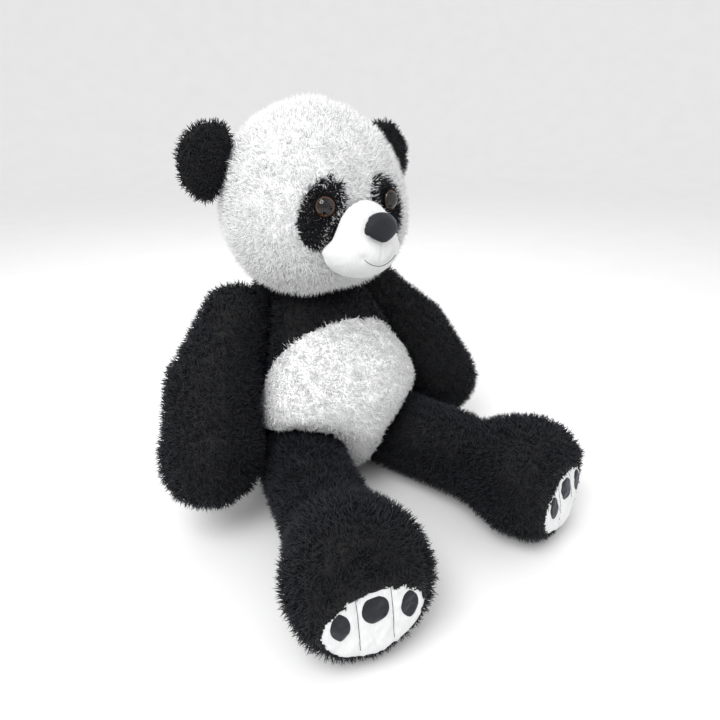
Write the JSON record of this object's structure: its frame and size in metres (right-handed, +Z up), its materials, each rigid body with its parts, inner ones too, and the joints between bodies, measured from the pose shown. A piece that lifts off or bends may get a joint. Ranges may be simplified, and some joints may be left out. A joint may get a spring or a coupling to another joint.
{
  "type": "plush panda",
  "caption": "Large seated stuffed toy panda of long black and white plush, with limbs, head and ears that flex at their sewn seams.",
  "frame": {"origin": "centre of the flat seat panel, on the surface the toy sits on", "axes": "+Z up; -Y the way the toy faces; +X to the toy's own left"},
  "size_m": [0.6212, 0.6582, 0.639],
  "materials": {
    "white_plush": "long white plush pile",
    "black_plush": "long black plush pile",
    "short_white_plush": "short, smooth white plush",
    "black_cloth": "smooth black velour",
    "stuffing": "loose polyester fibre",
    "eye_lens": "clear glossy plastic over a black pupil",
    "eye_iris": "brown plastic",
    "eye_post": "moulded black plastic",
    "eye_washer": "moulded white plastic",
    "black_thread": "polyester thread"
  },
  "bodies": {
    "torso": {"torso_stuffing": "stuffing", "belly_panel": "white_plush", "torso_front_right": "black_plush", "torso_front_left": "black_plush", "torso_back_right": "black_plush", "torso_back_left": "black_plush", "seat_panel": "black_plush", "closing_seam": "black_thread", "tail_cover": "white_plush", "tail_stuffing": "stuffing"},
    "neck": {"neck_seam": "black_thread"},
    "head": {"head_stuffing": "stuffing", "face_right": "white_plush", "face_left": "white_plush", "head_back_right": "white_plush", "head_back_left": "white_plush", "muzzle_right": "short_white_plush", "muzzle_left": "short_white_plush", "muzzle_stuffing": "stuffing", "nose_cover": "black_cloth", "nose_stuffing": "stuffing", "mouth_thread": "black_thread", "right_eye_patch": "black_plush", "right_eye_lens": "eye_lens", "right_eye_iris": "eye_iris", "right_eye_post": "eye_post", "right_eye_washer": "eye_washer", "left_eye_patch": "black_plush", "left_eye_lens": "eye_lens", "left_eye_iris": "eye_iris", "left_eye_post": "eye_post", "left_eye_washer": "eye_washer"},
    "right_ear": {"right_ear_front": "black_plush", "right_ear_back": "black_plush", "right_ear_stuffing": "stuffing"},
    "right_shoulder": {"right_shoulder_seam": "black_thread"},
    "right_arm": {"right_arm_outer": "black_plush", "right_arm_inner": "black_plush", "right_arm_stuffing": "stuffing"},
    "right_hip": {"right_hip_seam": "black_thread"},
    "right_leg": {"right_leg_outer": "black_plush", "right_leg_inner": "black_plush", "right_leg_stuffing": "stuffing", "right_sole": "short_white_plush", "right_toe_pads": "black_cloth"},
    "left_ear": {"left_ear_front": "black_plush", "left_ear_back": "black_plush", "left_ear_stuffing": "stuffing"},
    "left_shoulder": {"left_shoulder_seam": "black_thread"},
    "left_arm": {"left_arm_outer": "black_plush", "left_arm_inner": "black_plush", "left_arm_stuffing": "stuffing"},
    "left_hip": {"left_hip_seam": "black_thread"},
    "left_leg": {"left_leg_outer": "black_plush", "left_leg_inner": "black_plush", "left_leg_stuffing": "stuffing", "left_sole": "short_white_plush", "left_toe_pads": "black_cloth"}
  },
  "joints": [
    {"name": "neck_turn", "type": "hinge", "parent": "torso", "child": "neck", "pos_m": [0, -0.024, 0.427], "axis": [0, 0, 1], "range_deg": [-40, 40], "stiffness_Nm_per_rad": 1.2},
    {"name": "head_nod", "type": "hinge", "parent": "neck", "child": "head", "pos_m": [0, -0.024, 0.427], "axis": [1, 0, 0], "range_deg": [-8, 10], "stiffness_Nm_per_rad": 4},
    {"name": "right_ear_fold", "type": "hinge", "parent": "head", "child": "right_ear", "pos_m": [-0.14513, -0.00678, 0.55458], "axis": [0.3632, 0, 0.9317], "range_deg": [-20, 20], "stiffness_Nm_per_rad": 0.12},
    {"name": "right_arm_swing", "type": "hinge", "parent": "torso", "child": "right_shoulder", "pos_m": [-0.136, 0.018, 0.309], "axis": [-1, 0, 0], "range_deg": [-20, 70], "stiffness_Nm_per_rad": 1.6},
    {"name": "right_arm_lift", "type": "hinge", "parent": "right_shoulder", "child": "right_arm", "pos_m": [-0.136, 0.018, 0.309], "axis": [0, 1, 0], "range_deg": [0, 60], "stiffness_Nm_per_rad": 1.6},
    {"name": "right_leg_raise", "type": "hinge", "parent": "torso", "child": "right_hip", "pos_m": [-0.096, -0.104, 0.072], "axis": [-1, 0, 0], "range_deg": [-15, 8], "stiffness_Nm_per_rad": 3},
    {"name": "right_leg_spread", "type": "hinge", "parent": "right_hip", "child": "right_leg", "pos_m": [-0.096, -0.104, 0.072], "axis": [0, 0, -1], "range_deg": [-6, 6], "stiffness_Nm_per_rad": 3},
    {"name": "left_ear_fold", "type": "hinge", "parent": "head", "child": "left_ear", "pos_m": [0.14513, -0.00678, 0.55458], "axis": [0.3632, 0, -0.9317], "range_deg": [-20, 20], "stiffness_Nm_per_rad": 0.12},
    {"name": "left_arm_swing", "type": "hinge", "parent": "torso", "child": "left_shoulder", "pos_m": [0.136, 0.018, 0.309], "axis": [-1, 0, 0], "range_deg": [-20, 70], "stiffness_Nm_per_rad": 1.6},
    {"name": "left_arm_lift", "type": "hinge", "parent": "left_shoulder", "child": "left_arm", "pos_m": [0.136, 0.018, 0.309], "axis": [0, -1, 0], "range_deg": [0, 60], "stiffness_Nm_per_rad": 1.6},
    {"name": "left_leg_raise", "type": "hinge", "parent": "torso", "child": "left_hip", "pos_m": [0.096, -0.104, 0.072], "axis": [-1, 0, 0], "range_deg": [-15, 8], "stiffness_Nm_per_rad": 3},
    {"name": "left_leg_spread", "type": "hinge", "parent": "left_hip", "child": "left_leg", "pos_m": [0.096, -0.104, 0.072], "axis": [0, 0, 1], "range_deg": [-6, 6], "stiffness_Nm_per_rad": 3}
  ]
}
